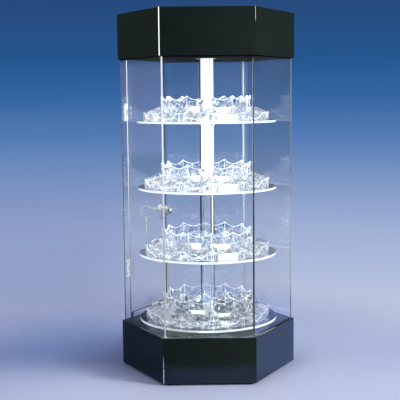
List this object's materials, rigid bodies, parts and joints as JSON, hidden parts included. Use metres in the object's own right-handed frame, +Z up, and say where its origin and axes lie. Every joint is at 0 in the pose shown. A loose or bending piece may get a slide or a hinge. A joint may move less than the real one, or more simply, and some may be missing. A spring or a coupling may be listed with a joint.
{
  "type": "display case",
  "caption": "Hexagonal countertop display case: clear acrylic sides, black base and canopy, a hinged locked rear door and a lit revolving tower of round shelves with scalloped risers.",
  "frame": {"origin": "on the surface it stands on, under the middle of the hexagon, which is the tower's axis", "axes": "+Z up; the front side faces -Y; corners of the hexagon point along +X and -X; the door is in the rear-left side, which faces -X and +Y"},
  "size_m": [0.3988, 0.3464, 0.805],
  "materials": {
    "clear_acrylic": "clear cast acrylic, polished edges",
    "black_acrylic": "gloss black acrylic sheet",
    "rubber": "matt black rubber",
    "black_plastic": "moulded black plastic",
    "zinc_steel": "zinc-plated steel",
    "nylon": "white nylon",
    "chrome": "chrome-plated zinc",
    "nickel_brass": "nickel-plated brass",
    "lamp_glass": "phosphor-coated glass tube",
    "cable": "white cable sheath"
  },
  "bodies": {
    "case": {"base_skirt": "black_acrylic", "base_deck": "black_acrylic", "base_floor": "black_acrylic", "foot_front_left": "rubber", "foot_front_right": "rubber", "foot_rear_right": "rubber", "foot_rear_left": "rubber", "power_inlet": "black_plastic", "gear_motor": "zinc_steel", "bearing_lower_ring": "zinc_steel", "front_panel": "clear_acrylic", "front_left_panel": "clear_acrylic", "front_right_panel": "clear_acrylic", "rear_right_panel": "clear_acrylic", "rear_panel": "clear_acrylic", "hinge_jamb": "clear_acrylic", "lock_jamb": "clear_acrylic", "door_sill": "clear_acrylic", "hinge_upper_jamb_leaf": "clear_acrylic", "hinge_lower_jamb_leaf": "clear_acrylic", "hinge_upper_pin": "zinc_steel", "hinge_lower_pin": "zinc_steel", "lamp_lead": "cable", "canopy_skirt": "black_acrylic", "canopy_top": "black_acrylic", "canopy_ceiling": "black_acrylic", "column_bush": "nylon", "lamp_holder": "black_plastic", "lamp_tube": "lamp_glass", "ballast": "zinc_steel"},
    "rocker": {"switch_rocker": "black_plastic"},
    "tower": {"motor_shaft": "zinc_steel", "drive_hub": "nylon", "bearing_upper_ring": "zinc_steel", "turntable": "clear_acrylic", "shelf_lower": "clear_acrylic", "shelf_middle": "clear_acrylic", "shelf_upper": "clear_acrylic", "column": "clear_acrylic", "collar_lower": "clear_acrylic", "collar_middle": "clear_acrylic", "collar_upper": "clear_acrylic", "crown_turntable": "clear_acrylic", "crown_lower": "clear_acrylic", "crown_middle": "clear_acrylic", "crown_upper": "clear_acrylic", "gallery_turntable": "clear_acrylic", "gallery_lower": "clear_acrylic", "gallery_middle": "clear_acrylic", "gallery_upper": "clear_acrylic"},
    "door": {"door": "clear_acrylic", "hinge_upper_door_leaf": "clear_acrylic", "hinge_lower_door_leaf": "clear_acrylic", "lock_barrel": "chrome", "lock_nut": "chrome"},
    "lock_cylinder": {"lock_plug": "nickel_brass", "lock_cam": "zinc_steel"},
    "key": {"lock_key": "nickel_brass"},
    "ring": {"key_ring": "nickel_brass"},
    "spare": {"spare_key": "nickel_brass"}
  },
  "joints": [
    {"name": "turntable_spin", "type": "hinge", "parent": "case", "child": "tower", "pos_m": [0, 0, 0.117], "axis": [0, 0, 1], "continuous": true},
    {"name": "door_swing", "type": "hinge", "parent": "case", "child": "door", "pos_m": [-0.1851, 0.0238, 0.405], "axis": [0, 0, 1], "range_deg": [0, 120]},
    {"name": "lock_turn", "type": "hinge", "parent": "door", "child": "lock_cylinder", "pos_m": [-0.11219, 0.14149, 0.348], "axis": [-0.866, 0.5, 0], "range_deg": [-90, 0]},
    {"name": "key_pull", "type": "slide", "parent": "lock_cylinder", "child": "key", "axis": [-0.866, 0.5, 0], "range_m": [0, 0.03]},
    {"name": "ring_swing", "type": "hinge", "parent": "key", "child": "ring", "pos_m": [-0.13609, 0.15529, 0.348], "axis": [0, 1, 0], "range_deg": [0, 60]},
    {"name": "spare_key_swing", "type": "hinge", "parent": "ring", "child": "spare", "pos_m": [-0.14756, 0.15529, 0.32597], "axis": [-1, 0, 0], "range_deg": [-40, 40]},
    {"name": "power_rocker", "type": "hinge", "parent": "case", "child": "rocker", "pos_m": [-0.0122, 0.16755, 0.055], "axis": [1, 0, 0], "range_deg": [-16, 0]}
  ]
}
